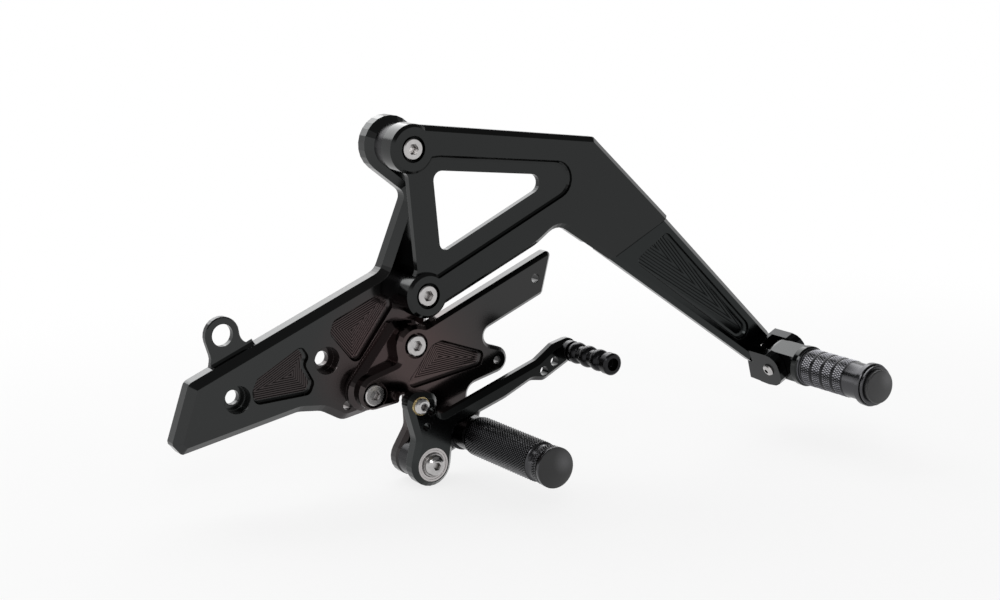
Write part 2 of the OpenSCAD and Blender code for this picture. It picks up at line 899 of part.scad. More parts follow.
module ears(outline) {
    for (x = [-ear_x - ear_t, ear_x])
        translate([x, 0, 0])
            rotate([90, 0, 90])
                linear_extrude(height = ear_t)
                    polygon([for (p = outline) [-p[0], p[1]]]);
}

// The straight part of the arm with play round it, cut out of the clevis
module arm_clearance() {
    run = belt(arm_outline, -0.3);
    n = len(run);
    plane(arm_back + 5)
        linear_extrude(height = arm_back + 7 - bracket_face)
            polygon([run[1], run[2], run[n - 3], run[n - 2]]);
}

module passenger_clevis() {
    color(anodised)
        difference() {
            at_hinge()
                difference() {
                    union() {
                        ears(ear_front);
                        translate([-ear_x - ear_t, hinge_off - web_t, -13.6])
                            cube([2 * (ear_x + ear_t), web_t, 26]);
                    }
                    hinge_rod(pin_r + 0.05, -60, 60);
                }
            rod(arm_tip, small_r + 0.05, bracket_face + 1, bracket_face - web_t - 1);
        }
    color(anodised)
        difference() {
            at_hinge()
                ears(ear_rear);
            rod(arm_tip, arm_tip_r + 0.3, arm_back + 5, bracket_face - 2);
            arm_clearance();
        }
}

module clevis_bolt() {
    color(steel)
        translate([0, arm_back * 2, 0])
            mirror([0, 1, 0])
                socket_screw(arm_tip, arm_back, small_r, small_head_r, 6, arm_back - bracket_face + web_t - 0.3);
}

module hinge_pin() {
    head_x = ear_x + ear_t;
    color(steel)
        at_hinge()
            difference() {
                rotate([0, 90, 0])
                    translate([0, 0, -head_x - 2.4])
                        rotate_extrude($fn = bore_fn)
                            polygon([
                                [0, 0],
                                [2.2, 0],
                                [3.6, 0.7],
                                [4.25, 1.8],
                                [4.25, 2.4],
                                [pin_r, 2.4],
                                [pin_r, head_x * 2 + 2.9],
                                [pin_r - 0.6, head_x * 2 + 2.9],
                                [pin_r - 0.6, head_x * 2 + 4.1],
                                [pin_r, head_x * 2 + 4.1],
                                [pin_r, head_x * 2 + 4.7],
                                [pin_r - 0.5, head_x * 2 + 5.2],
                                [0, head_x * 2 + 5.2]
                            ]);
                translate([-head_x - 3, 0, 0])
                    rotate([0, 90, 0])
                        cylinder(h = 2.2, r = 1.7, $fn = 6);
            }
}

module hinge_clip() {
    color(steel)
        at_hinge()
            difference() {
                hinge_rod(5, ear_x + ear_t + 0.6, ear_x + ear_t + 1.6);
                hinge_rod(pin_r - 0.5, ear_x + ear_t, ear_x + ear_t + 3);
                translate([ear_x + ear_t, -1.9, -8])
                    cube([3, 3.8, 8]);
            }
}

// Turned shapes on the axis of the passenger peg, distances outwards from the pin
module peg_turned(from, profile) {
    turned(hinge, hinge_y + from, profile);
}

module passenger_peg_tang() {
    color(satin)
        difference() {
            union() {
                at_hinge()
                    union() {
                        hinge_rod(tang_h, -tang_w / 2, tang_w / 2);
                        translate([-tang_w / 2, disc_y - 1, -tang_h])
                            cube([tang_w, -disc_y + 1, 2 * tang_h]);
                    }
                peg_turned(disc_y, [
                    [0, 0],
                    [peg_disc_r - 1, 0],
                    [peg_disc_r, 1],
                    [peg_disc_r, 5],
                    [peg_disc_r - 1, 6],
                    [7, 6],
                    [7, 26],
                    [0, 26]
                ]);
            }
            at_hinge()
                hinge_rod(pin_r + 0.05, -60, 60);
            rod(hinge, small_r + 0.05, hinge_y + disc_y - 6, hinge_y + disc_y - 30);
        }
}

module passenger_peg_sleeve() {
    knurl_end = lead_l + knurl_l + band_l;
    color(anodised)
        difference() {
            peg_turned(sleeve_y, concat(
                [
                    [0, 0],
                    [peg_disc_r - 1.2, 0],
                    [sleeve_r - 0.8, 0.9],
                    [sleeve_r - 0.8, 1.9],
                    [sleeve_r, lead_l]
                ],
                [
                    for (k = [1 : 3])
                        for (p = [[0, -0.5], [-0.7, -0.1], [-0.7, 0.1], [0, 0.5]])
                            [sleeve_r + p[0], lead_l + k * knurl_l / 4 + p[1]]
                ],
                [
                    [sleeve_r, lead_l + knurl_l],
                    [sleeve_r - 0.6, lead_l + 0.6 + knurl_l],
                    [sleeve_r - 0.6, knurl_end - 1],
                    [flange_r - 0.6, knurl_end],
                    [flange_r, knurl_end + 0.6],
                    [flange_r, knurl_end + flange_l - 0.4],
                    [flange_r - 0.6, knurl_end + flange_l],
                    [flange_r - 1.6, knurl_end + flange_l],
                    [flange_r - 1.6, knurl_end + flange_l + 0.5],
                    [flange_r - 1, knurl_end + flange_l + 0.8],
                    [flange_r - 1, knurl_end + flange_l + 2],
                    [flange_r - 1.6, knurl_end + flange_l + 2.5],
                    [0, knurl_end + flange_l + 2.5]
                ]
            ));
            rod(hinge, 7.05, hinge_y + sleeve_y + 1, hinge_y + sleeve_y - 20.2);
            rod(hinge, small_r + screw_play, hinge_y + sleeve_y, hinge_y + sleeve_y - 40);
            rod(hinge, 7.2, hinge_y + sleeve_y - 26, hinge_y + sleeve_y - 200);
        }
}

module passenger_peg_cap() {
    color(rubber)
        peg_turned(peg_end_y + 12, [
            [0, 0],
            [7.1, 0],
            [7.1, 12],
            [10.9, 12],
            [10.9, 12 + peg_cap_l * 0.75],
            [10.5, 12 + peg_cap_l * 0.88],
            [9.6, 12 + peg_cap_l * 0.95],
            [7, 12 + peg_cap_l],
            [0, 12 + peg_cap_l]
        ]);
}

module passenger_peg_screw() {
    color(steel)
        socket_screw(hinge, hinge_y + sleeve_y - 26, small_r, small_head_r, 6, 18);
}

main_plate();
front_plate();
passenger_bracket();
passenger_arm();
upper_spacer();
lower_spacer();
bracket_bolts();
plate_bolts();
arm_screws();
shift_lever();
bearing_outer_ring();
bearing_balls();
bearing_inner_ring();
bearing_shield();
pivot_bushing();
pivot_washer();
pivot_screw();
linkage_washer();
linkage_screw();
toe_peg();
toe_peg_screw();
rider_peg_base();
rider_peg_barrel();
rider_peg_cap();
rider_peg_bolt();
passenger_clevis();
clevis_bolt();
hinge_pin();
hinge_clip();
passenger_peg_tang();
passenger_peg_sleeve();
passenger_peg_cap();
passenger_peg_screw();
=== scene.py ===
import math

import bpy
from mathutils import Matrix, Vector


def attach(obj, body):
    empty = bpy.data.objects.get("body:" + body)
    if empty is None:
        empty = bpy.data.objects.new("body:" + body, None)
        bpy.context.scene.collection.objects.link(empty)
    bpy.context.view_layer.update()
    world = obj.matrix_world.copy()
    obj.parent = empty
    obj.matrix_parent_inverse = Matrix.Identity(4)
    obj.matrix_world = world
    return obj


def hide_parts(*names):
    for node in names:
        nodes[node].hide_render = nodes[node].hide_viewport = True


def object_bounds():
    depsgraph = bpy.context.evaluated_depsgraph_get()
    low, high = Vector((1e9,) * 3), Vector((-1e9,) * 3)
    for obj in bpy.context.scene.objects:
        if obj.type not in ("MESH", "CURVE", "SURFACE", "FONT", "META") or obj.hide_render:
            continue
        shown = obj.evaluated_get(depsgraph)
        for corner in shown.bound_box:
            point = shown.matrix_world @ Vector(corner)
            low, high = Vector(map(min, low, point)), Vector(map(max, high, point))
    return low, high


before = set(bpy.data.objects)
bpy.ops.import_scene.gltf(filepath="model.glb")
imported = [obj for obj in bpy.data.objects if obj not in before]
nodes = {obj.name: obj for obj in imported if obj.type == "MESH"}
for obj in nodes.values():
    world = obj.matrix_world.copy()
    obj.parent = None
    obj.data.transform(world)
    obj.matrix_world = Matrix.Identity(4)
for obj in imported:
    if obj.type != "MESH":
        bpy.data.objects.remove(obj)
cad_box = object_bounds()

MM = 0.001
WHITE = (1, 1, 1, 1)

# The camera that fits the photograph's outlines: its place in metres, how far it stands to the
# left of the plates and above them in degrees, its lens and sensor in mm, its reach in metres
CAMERA = (-0.490204, -1.039059, 0.296221)
CAMERA_TURN = -33.26
CAMERA_RISE = 11.84
LENS = 71.68
SENSOR = 36
CAMERA_REACH = 20

# The middle of the object, at which the lamps point
MIDDLE = Vector((0.17, -0.03, 0.04))

# The object mirrors a white backdrop and floor and a dim room over the camera. By how much a
# direction points up, the dimming starts, is full, and leaves this share of the light. Towards
# the backdrop it starts higher, and at the back on the left lower again.
DIM_START = 0.28
DIM_FULL = 0.6
DIM_SHARE = 0.16
BACKDROP_LIFT = -0.6
LEFT_DIMMING = -1.5
# Strength of the surroundings where they only light the object
SURROUND = 0.55

# The floor, in metres: its width, its gap below the object, and where, from its middle, the
# shadow starts to fade and has faded into pure white. The paper glows a little in the shadow.
FLOOR_WIDTH = 8
FLOOR_GAP = 0.5 * MM
FADE_START = 0.3
FADE_END = 0.75
SHADOW_GLOW = 0.8
PAPER = (0.85, 0.85, 0.85, 1)

# Each peg's axis as x and z in mm, and where its knurled piece starts, as y in mm
RIDER = (144.6, -35.5)
RIDER_START = -46
HINGE = (386, -18)
SLEEVE_START = -79

# A real knurl of 1 mm is too fine to show in the render, so these diamonds are 1.6 by 2.6 mm
# on the rider peg, and 1.6 by 3.6 mm on the passenger peg, which is seen more end on. AROUND
# points stand round a peg, and the rows are those of the rider's knurl, of each zone of the
# sleeve and of the rider's narrow band.
AROUND = 96
KNURL_ROWS = 50
SLEEVE_ROWS = 5
BAND_ROWS = 3
# How far the valleys are pressed in at a piece's widest, and how much lower a knurl's ends are
KNURL_DEPTH = 0.5
END_DROP = 0.45
KNURL_R = 12.4
# The rider's knurl and the band beyond its groove, as distances in mm from the barrel's start
RIDER_KNURL = (4.0, 69.5)
RIDER_BAND = (76.0, 80.2)
# The sleeve's knurl follows a plain lead and has zones with a groove between, in mm. The last
# value is half a groove.
SLEEVE_LEAD = 2.6
SLEEVE_KNURL = 39.5
SLEEVE_ZONES = 4
SLEEVE_ZONE = SLEEVE_KNURL / SLEEVE_ZONES
SLEEVE_GROOVE = 0.45

# Pockets: the depth of the floor, the lines that the cutter followed as x, z and direction in
# degrees, and the pitch of its grooves, in mm
PLATE_POCKETS = [
    (-7.4, [(10.5, -5.1, 2), (50.9, 3.5, 90), (42.8, 27.4, 209)], 1.3),
    (-7.4, [(79.6, 9.6, 53), (97, 53.3, 203), (61.8, 31.4, 309)], 1.3),
]
FRONT_POCKETS = [(-22.5, [(112, -1.3, 4), (162.6, 11.2, 160), (124.4, 20, 240)], 1.3)]
ARM_POCKETS = [(-31.9, [(271.6, 57.8, -32), (361.4, 9, 131)], 2.0)]
# The cutter's corner radius, and the radius that softens every other edge
CORNER = 1.3
EDGE = 0.35
# The joint between the passenger bracket and its arm: a point in mm, its slope, half its width
SEAM = (256.2, 62.6, 27.3, 0.35)
# Where the dye is redder: the middle in metres, and the distances of full and no red
RED_MIDDLE = (0.11, -0.02, 0.008)
RED_FULL = 0.02
RED_END = 0.07
# The lever is painted darker from its hub to its arm, a painted shade for its fading reflection, between
# these x in mm
LEVER_SHADE = (112, 150, "#222323")

# Roughness of the plates, the turned parts, the knurls and the nylon
PLATE_ROUGH = 0.13
TURNED_ROUGH = 0.26
KNURL_ROUGH = 0.24
NYLON_ROUGH = 0.34

# Settings that many nodes share
SMOOTH = {"interpolation_type": "SMOOTHSTEP"}
COLOURS = {"data_type": "RGBA"}
TIMES = {"operation": "MULTIPLY"}
TIMES_PLUS = {"operation": "MULTIPLY_ADD"}
MOST = {"operation": "MAXIMUM"}
LEAST = {"operation": "MINIMUM"}
ABOVE = {"operation": "GREATER_THAN"}
NEAR = {"operation": "COMPARE"}


def linear(code):
    """A colour written as sRGB hex, as Blender's linear values."""
    values = [int(code[k : k + 2], 16) / 255 for k in (1, 3, 5)]
    return [v / 12.92 if v <= 0.04045 else ((v + 0.055) / 1.055) ** 2.4 for v in values] + [1]


def add(tree, kind, settings=None, **links):
    """Adds one node. Settings are its properties. Links go to its inputs, by name or, written
    as i and a number, by place."""
    node = tree.nodes.new(kind)
    for name, value in (settings or {}).items():
        setattr(node, name, value)
    for name, value in links.items():
        if name[1:].isdigit():
            socket = node.inputs[int(name[1:])]
        else:
            socket = node.inputs[name.replace("_", " ")]
        if isinstance(value, bpy.types.NodeSocket):
            tree.links.new(value, socket)
        else:
            socket.default_value = value
    return node


# Camera and light


def place_camera():
    data = bpy.data.cameras.new("camera")
    data.lens = LENS
    data.sensor_width = SENSOR
    data.clip_end = CAMERA_REACH
    camera = bpy.data.objects.new("camera", data)
    bpy.context.scene.collection.objects.link(camera)
    camera.location = CAMERA
    turn = math.radians(CAMERA_TURN)
    rise = math.radians(CAMERA_RISE)
    back = Vector((math.sin(turn) * math.cos(rise), -math.cos(turn) * math.cos(rise), math.sin(rise)))
    camera.rotation_euler = (-back).to_track_quat("-Z", "Y").to_euler()
    bpy.context.scene.camera = camera


def area_lamp(name, place, size, watts):
    data = bpy.data.lights.new(name, "AREA")
    data.shape = "RECTANGLE"
    data.size, data.size_y = size
    data.energy = watts
    lamp = bpy.data.objects.new(name, data)
    bpy.context.scene.collection.objects.link(lamp)
    lamp.location = place
    lamp.rotation_euler = (MIDDLE - Vector(place)).to_track_quat("-Z", "Y").to_euler()


def camera_or_glossy(tree, path):
    """1 for what the camera and mirror images see, and 0 for what lights the object."""
    camera = path.outputs["Is Camera Ray"]
    return add(tree, "ShaderNodeMath", MOST, i0=camera, i1=path.outputs["Is Glossy Ray"]).outputs[0]


def light_studio():
    world = bpy.data.worlds.new("studio")
    bpy.context.scene.world = world
    world.use_nodes = True
    tree = world.node_tree
    tree.nodes.clear()
    path = add(tree, "ShaderNodeLightPath")
    through = path.outputs["Is Transmission Ray"]
    seen = add(tree, "ShaderNodeMath", MOST, i0=camera_or_glossy(tree, path), i1=through)
    lit = add(tree, "ShaderNodeBackground", Color=WHITE, Strength=SURROUND)
    way = add(tree, "ShaderNodeSeparateXYZ", i0=add(tree, "ShaderNodeTexCoord").outputs["Generated"])
    behind = add(tree, "ShaderNodeMath", MOST, i0=way.outputs["Y"], i1=0.0).outputs[0]
    rise = add(tree, "ShaderNodeMath", TIMES_PLUS, i0=behind, i1=BACKDROP_LIFT, i2=way.outputs["Z"])
    left = add(tree, "ShaderNodeMath", LEAST, i0=way.outputs["X"], i1=0.0).outputs[0]
    left = add(tree, "ShaderNodeMath", TIMES, i0=left, i1=behind).outputs[0]
    rise = add(tree, "ShaderNodeMath", TIMES_PLUS, i0=left, i1=LEFT_DIMMING, i2=rise.outputs[0])
    dim = add(
        tree,
        "ShaderNodeMapRange",
        SMOOTH,
        Value=rise.outputs[0],
        From_Min=DIM_START,
        From_Max=DIM_FULL,
        To_Min=1.0,
        To_Max=DIM_SHARE,
    ).outputs[0]
    glossy = path.outputs["Is Glossy Ray"]
    strength = add(tree, "ShaderNodeMix", {"data_type": "FLOAT"}, i0=glossy, i2=1.0, i3=dim).outputs[0]
    white = add(tree, "ShaderNodeBackground", Color=WHITE, Strength=strength)
    both = add(tree, "ShaderNodeMixShader", i0=seen.outputs[0], i1=lit.outputs[0], i2=white.outputs[0])
    add(tree, "ShaderNodeOutputWorld", Surface=both.outputs[0])
    area_lamp("lamp_behind", (0.3, 1.1, 0.9), (1.8, 0.8), 13)
    area_lamp("lamp_left", (-1.0, 0.9, 0.25), (0.6, 0.8), 2)
    area_lamp("lamp_front", (-0.5, -1.2, 0.9), (0.4, 0.4), 3)


def lay_floor(lowest):
    """White paper that keeps the object's shadow near it and is pure white farther away."""
    bpy.ops.mesh.primitive_plane_add(size=FLOOR_WIDTH, location=(0.2, 0, lowest - FLOOR_GAP))
    floor = bpy.context.object
    floor.name = "floor"
    mat = bpy.data.materials.new("white_paper_floor")
    mat.use_nodes = True
    tree = mat.node_tree
    tree.nodes.clear()
    seen = camera_or_glossy(tree, add(tree, "ShaderNodeLightPath"))
    paper = add(tree, "ShaderNodeBsdfDiffuse", Color=PAPER)
    glow = add(tree, "ShaderNodeEmission", Color=WHITE, Strength=1.0)
    place = add(tree, "ShaderNodeTexCoord").outputs["Object"]
    far = add(tree, "ShaderNodeVectorMath", {"operation": "LENGTH"}, i0=place).outputs["Value"]
    fade = add(
        tree,
        "ShaderNodeMapRange",
        SMOOTH,
        Value=far,
        From_Min=FADE_START,
        From_Max=FADE_END,
        To_Min=SHADOW_GLOW,
        To_Max=1.0,
    )
    part = add(tree, "ShaderNodeMath", TIMES, i0=seen, i1=fade.outputs[0])
    both = add(tree, "ShaderNodeMixShader", i0=part.outputs[0], i1=paper.outputs[0], i2=glow.outputs[0])
    add(tree, "ShaderNodeOutputMaterial", Surface=both.outputs[0])
    floor.data.materials.append(mat)


# Materials


def start_material(name):
    mat = bpy.data.materials.new(name)
    mat.use_nodes = True
    tree = mat.node_tree
    tree.nodes.clear()
    place = add(tree, "ShaderNodeTexCoord").outputs["Object"]
    return mat, tree, place


def finish_material(tree, **sockets):
    shader = add(tree, "ShaderNodeBsdfPrincipled", **sockets)
    add(tree, "ShaderNodeOutputMaterial", Surface=shader.outputs[0])


def from_line(tree, place, x, z, angle):
    """The distance to the left of a line through x and z, in metres."""
    slope = math.radians(angle)
    across = (-math.sin(slope), 0, math.cos(slope))
    foot = (x * MM, 0, z * MM)
    shift = add(tree, "ShaderNodeVectorMath", {"operation": "SUBTRACT"}, i0=place, i1=foot).outputs[0]
    far = add(tree, "ShaderNodeVectorMath", {"operation": "DOT_PRODUCT"}, i0=shift, i1=across)
    return far.outputs["Value"]


def from_axis(tree, place, axis):
    """The distance from an axis along Y, in metres."""
    foot = (axis[0] * MM, 0, axis[1] * MM)
    flat = add(tree, "ShaderNodeVectorMath", TIMES, i0=place, i1=(1, 0, 1)).outputs[0]
    far = add(tree, "ShaderNodeVectorMath", {"operation": "DISTANCE"}, i0=flat, i1=foot)
    return far.outputs["Value"]


def pocket_steps(tree, place, floor, lines, pitch):
    """Three masks: the grooves that the cutter leaves on a pocket floor, the hollow corner
    round the floor, and the floor itself.

    The pocket lies to the left of its lines, and each groove follows the nearest one.
    """
    nearest = None
    for x, z, angle in lines:
        far = from_line(tree, place, x, z, angle)
        if nearest is None:
            nearest = far
        else:
            nearest = add(tree, "ShaderNodeMath", LEAST, i0=nearest, i1=far).outputs[0]
    swing = add(tree, "ShaderNodeMath", {"operation": "PINGPONG"}, i0=nearest, i1=pitch * MM / 2)
    saw = add(
        tree,
        "ShaderNodeMapRange",
        SMOOTH,
        Value=swing.outputs[0],
        From_Min=pitch * MM * 0.25,
        From_Max=0.0,
    )
    inside = add(tree, "ShaderNodeMath", ABOVE, i0=nearest, i1=0.3 * MM)
    depth = add(tree, "ShaderNodeSeparateXYZ", i0=place).outputs["Y"]
    near = add(tree, "ShaderNodeMath", NEAR, i0=depth, i1=floor * MM, i2=0.3 * MM)
    flat = add(tree, "ShaderNodeMath", TIMES, i0=inside.outputs[0], i1=near.outputs[0]).outputs[0]
    groove = add(tree, "ShaderNodeMath", TIMES, i0=saw.outputs[0], i1=flat).outputs[0]
    around = add(tree, "ShaderNodeMath", ABOVE, i0=nearest, i1=-2.5 * MM)
    low = add(tree, "ShaderNodeMath", ABOVE, i0=depth, i1=(floor - CORNER) * MM)
    corner = add(tree, "ShaderNodeMath", TIMES, i0=around.outputs[0], i1=low.outputs[0]).outputs[0]
    return groove, corner, flat


def milled_anodised(name, cool, warm, pockets=(), groove_shade=0.4, seam=None, shade=None):
    """Aluminium milled from plate, tumbled smooth and anodised black: a gloss that mirrors pale
    surroundings dimly, with a fine grain and a dye that is a little red round the rear of the
    plates. The warm colour also tints the pocket floors."""
    mat, tree, place = start_material(name)
    # The dye is uneven over about 40 mm and the gloss over about 17 mm
    dye = add(tree, "ShaderNodeTexNoise", Vector=place, Scale=25.0, Detail=2.0)
    off = add(tree, "ShaderNodeVectorMath", {"operation": "DISTANCE"}, i0=place, i1=RED_MIDDLE)
    off = off.outputs["Value"]
    red = add(tree, "ShaderNodeMapRange", SMOOTH, Value=off, From_Min=RED_END, From_Max=RED_FULL)
    red = add(tree, "ShaderNodeMath", TIMES, i0=red.outputs[0], i1=dye.outputs[0]).outputs[0]
    tone = add(tree, "ShaderNodeMix", COLOURS, i0=red, i6=linear(cool), i7=linear(warm)).outputs[2]
    smear = add(tree, "ShaderNodeTexNoise", Vector=place, Scale=60.0, Detail=4.0).outputs[0]
    gloss = add(
        tree,
        "ShaderNodeMapRange",
        Value=smear,
        To_Min=PLATE_ROUGH - 0.03,
        To_Max=PLATE_ROUGH + 0.05,
    )
    # Grain of 0.4 mm, coarser than tumbling leaves it, so that it shows
    grain = add(tree, "ShaderNodeTexNoise", Vector=place, Scale=2500.0, Detail=1.0).outputs[0]
    edge = add(tree, "ShaderNodeBevel", {"samples": 4}, Radius=EDGE * MM)
    bump = add(
        tree,
        "ShaderNodeBump",
        Strength=0.05,
        Distance=0.05 * MM,
        Height=grain,
        Normal=edge.outputs[0],
    ).outputs[0]
    # Painted shade: the colour darkens along x towards the shaded colour
    if shade:
        start, end, shaded_colour = shade
        x = add(tree, "ShaderNodeSeparateXYZ", i0=place).outputs["X"]
        run = add(tree, "ShaderNodeMapRange", SMOOTH, Value=x, From_Min=start * MM, From_Max=end * MM)
        tone = add(tree, "ShaderNodeMix", COLOURS, i0=run.outputs[0], i6=tone, i7=linear(shaded_colour)).outputs[2]
    hollow = None
    for floor, lines, pitch in pockets:
        groove, corner, flat = pocket_steps(tree, place, floor, lines, pitch)
        share = add(tree, "ShaderNodeMath", TIMES, i0=flat, i1=0.3).outputs[0]
        tone = add(tree, "ShaderNodeMix", COLOURS, i0=share, i6=tone, i7=linear(warm)).outputs[2]
        bump = add(
            tree,
            "ShaderNodeBump",
            {"invert": True},
            Strength=1.0,
            Distance=0.25 * MM,
            Height=groove,
            Normal=bump,
        ).outputs[0]
        # Painted shade: the cutter's grooves are darkened towards near black
        share = add(tree, "ShaderNodeMath", TIMES, i0=groove, i1=groove_shade).outputs[0]
        tone = add(tree, "ShaderNodeMix", COLOURS, i0=share, i6=tone, i7=linear("#0c0c0d")).outputs[2]
        if hollow is None:
            hollow = corner
        else:
            hollow = add(tree, "ShaderNodeMath", MOST, i0=hollow, i1=corner).outputs[0]
    if hollow is not None:
        # The cutter leaves a hollow corner round each floor
        size = add(tree, "ShaderNodeMapRange", Value=hollow, To_Min=EDGE * MM, To_Max=CORNER * MM)
        tree.links.new(size.outputs[0], edge.inputs["Radius"])
    if seam:
        x, z, angle, width = seam
        far = from_line(tree, place, x, z, angle)
        line = add(tree, "ShaderNodeMath", NEAR, i0=far, i1=0.0, i2=width * MM).outputs[0]
        tone = add(tree, "ShaderNodeMix", COLOURS, i0=line, i6=tone, i7=linear("#060606")).outputs[2]
    finish_material(tree, Base_Color=tone, Metallic=1.0, Roughness=gloss.outputs[0], Normal=bump)
    return mat


def turned_anodised(name, cool, warm):
    """Aluminium turned on a lathe and anodised black, with a slight swell along the axis."""
    mat, tree, place = start_material(name)
    dye = add(tree, "ShaderNodeTexNoise", Vector=place, Scale=30.0, Detail=2.0).outputs[0]
    colour = add(tree, "ShaderNodeMix", COLOURS, i0=dye, i6=linear(cool), i7=linear(warm)).outputs[2]
    # The wave repeats every 0.314 of its scaled length, which makes swells of 3.1 mm. Real feed
    # marks are finer and wouldn't show.
    swell = add(
        tree,
        "ShaderNodeTexWave",
        {"wave_type": "BANDS", "bands_direction": "Y", "wave_profile": "SIN"},
        Vector=place,
        Scale=100.0,
        Distortion=0.0,
    ).outputs[1]
    edge = add(tree, "ShaderNodeBevel", {"samples": 4}, Radius=0.3 * MM).outputs[0]
    bump = add(tree, "ShaderNodeBump", Strength=0.08, Distance=0.03 * MM, Height=swell, Normal=edge)
    finish_material(
        tree,
        Base_Color=colour,
        Metallic=1.0,
        Roughness=TURNED_ROUGH,
        Normal=bump.outputs[0],
    )
    return mat


def knurled_anodised(name, axis, low, end, valley_shade, crest_highlight, smooth):
    """Aluminium with a pressed diamond knurl, anodised black, with painted highlights on its crests and
    painted shade in its valleys.

    The colour follows the distance from the axis, from the valleys at the radius low to the
    crests, and past the knurl's end the metal is smooth.
    """
    mat, tree, place = start_material(name)
    out = from_axis(tree, place, axis)
    share = add(tree, "ShaderNodeMapRange", Value=out, From_Min=low * MM, From_Max=KNURL_R * MM)
    # The power keeps the painted highlight near the crests
    tip = add(tree, "ShaderNodeMath", {"operation": "POWER"}, i0=share.outputs[0], i1=1.6).outputs[0]
    colour = add(tree, "ShaderNodeMix", COLOURS, i0=tip, i6=linear(valley_shade), i7=linear(crest_highlight)).outputs[2]
    outward = add(tree, "ShaderNodeSeparateXYZ", i0=place).outputs["Y"]
    past = add(tree, "ShaderNodeMath", {"operation": "LESS_THAN"}, i0=outward, i1=end * MM).outputs[0]
    colour = add(tree, "ShaderNodeMix", COLOURS, i0=past, i6=colour, i7=linear(smooth)).outputs[2]
    finish_material(tree, Base_Color=colour, Metallic=1.0, Roughness=KNURL_ROUGH)
    return mat


def steel(name, pale, dark, rough):
    """Polished steel: bright, faintly mottled over 2.5 mm, and darkened by painted shade in sockets
    and gaps, which are found by how little is open within 3 mm."""
    mat, tree, place = start_material(name)
    mottle = add(tree, "ShaderNodeTexNoise", Vector=place, Scale=400.0, Detail=3.0).outputs[0]
    colour = add(tree, "ShaderNodeMix", COLOURS, i0=mottle, i6=linear(dark), i7=linear(pale)).outputs[2]
    # Painted shade: where little is open within 3 mm the colour goes dark brown
    air = add(tree, "ShaderNodeAmbientOcclusion", {"samples": 6}, Distance=3 * MM).outputs["AO"]
    unshaded = add(tree, "ShaderNodeMapRange", SMOOTH, Value=air, From_Min=0.25, From_Max=0.75).outputs[0]
    colour = add(tree, "ShaderNodeMix", COLOURS, i0=unshaded, i6=linear("#3a332f"), i7=colour).outputs[2]
    edge = add(tree, "ShaderNodeBevel", {"samples": 4}, Radius=0.25 * MM).outputs[0]
    bump = add(tree, "ShaderNodeBump", Strength=0.06, Distance=0.04 * MM, Height=mottle, Normal=edge)
    finish_material(tree, Base_Color=colour, Metallic=1.0, Roughness=rough, Normal=bump.outputs[0])
    return mat


def moulded_cap(name, dark, pale, highlight_middle):
    """Glass-filled nylon end cap, moulded with a satin skin, with a painted highlight that pales it round
    one spot.
    """
    mat, tree, place = start_material(name)
    skin = add(tree, "ShaderNodeTexNoise", Vector=place, Scale=1200.0, Detail=2.0).outputs[0]
    colour = add(tree, "ShaderNodeMix", COLOURS, i0=skin, i6=linear(dark), i7=linear(pale)).outputs[2]
    off = from_axis(tree, place, highlight_middle)
    # The painted highlight fades out 9 mm from its middle
    painted_highlight = add(tree, "ShaderNodeMapRange", SMOOTH, Value=off, From_Max=9 * MM, To_Min=0.45, To_Max=0.0)
    painted_highlight = painted_highlight.outputs[0]
    colour = add(tree, "ShaderNodeMix", COLOURS, i0=painted_highlight, i6=colour, i7=linear("#6a6a6c")).outputs[2]
    bump = add(tree, "ShaderNodeBump", Strength=0.08, Distance=0.05 * MM, Height=skin).outputs[0]
    finish_material(tree, Base_Color=colour, Metallic=0.0, Roughness=NYLON_ROUGH, Normal=bump)
    return mat


# Modelling


def deselect():
    if bpy.context.object and bpy.context.object.mode != "OBJECT":
        bpy.ops.object.mode_set(mode="OBJECT")
    bpy.ops.object.select_all(action="DESELECT")


def draw_line(name, points):
    """Starts a piece as a line through points in mm, all selected and in edit mode."""
    deselect()
    bpy.ops.mesh.primitive_plane_add(size=MM, location=(0, 0, 0))
    piece = bpy.context.object
    piece.name = name
    bpy.ops.object.mode_set(mode="EDIT")
    bpy.ops.mesh.select_all(action="SELECT")
    bpy.ops.mesh.merge(type="CENTER")
    last = (0.0, 0.0, 0.0)
    for k, point in enumerate(points):
        step = [(here - before) * MM for here, before in zip(point, last)]
        if k == 0:
            bpy.ops.transform.translate(value=step)
        else:
            bpy.ops.mesh.extrude_region_move(TRANSFORM_OT_translate={"value": step})
        last = point
    bpy.ops.mesh.select_all(action="SELECT")
    return piece


def spun(name, profile):
    """Turns a line of radii and distances outwards, in mm, round an axis along Y."""
    piece = draw_line(name, [(r, -out, 0.0) for r, out in profile])
    bpy.ops.mesh.spin(steps=AROUND, angle=math.tau, center=(0, 0, 0), axis=(0, 1, 0))
    bpy.ops.mesh.select_all(action="SELECT")
    bpy.ops.mesh.remove_doubles(threshold=0.00001)
    bpy.ops.mesh.normals_make_consistent(inside=False)
    bpy.ops.object.mode_set(mode="OBJECT")
    return piece


def settle(piece, place, outward, body, slot, material, *replaced):
    """Moves a finished piece to its axis, applies the place, and dresses it."""
    deselect()
    piece.select_set(True)
    bpy.context.view_layer.objects.active = piece
    piece.location = (place[0] * MM, outward * MM, place[1] * MM)
    bpy.ops.object.transform_apply(location=True, rotation=True, scale=True)
    bpy.ops.object.shade_smooth_by_angle(angle=math.radians(28))
    piece.data.materials.clear()
    piece.data.materials.append(material)
    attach(piece, body)
    if replaced:
        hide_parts(*replaced)


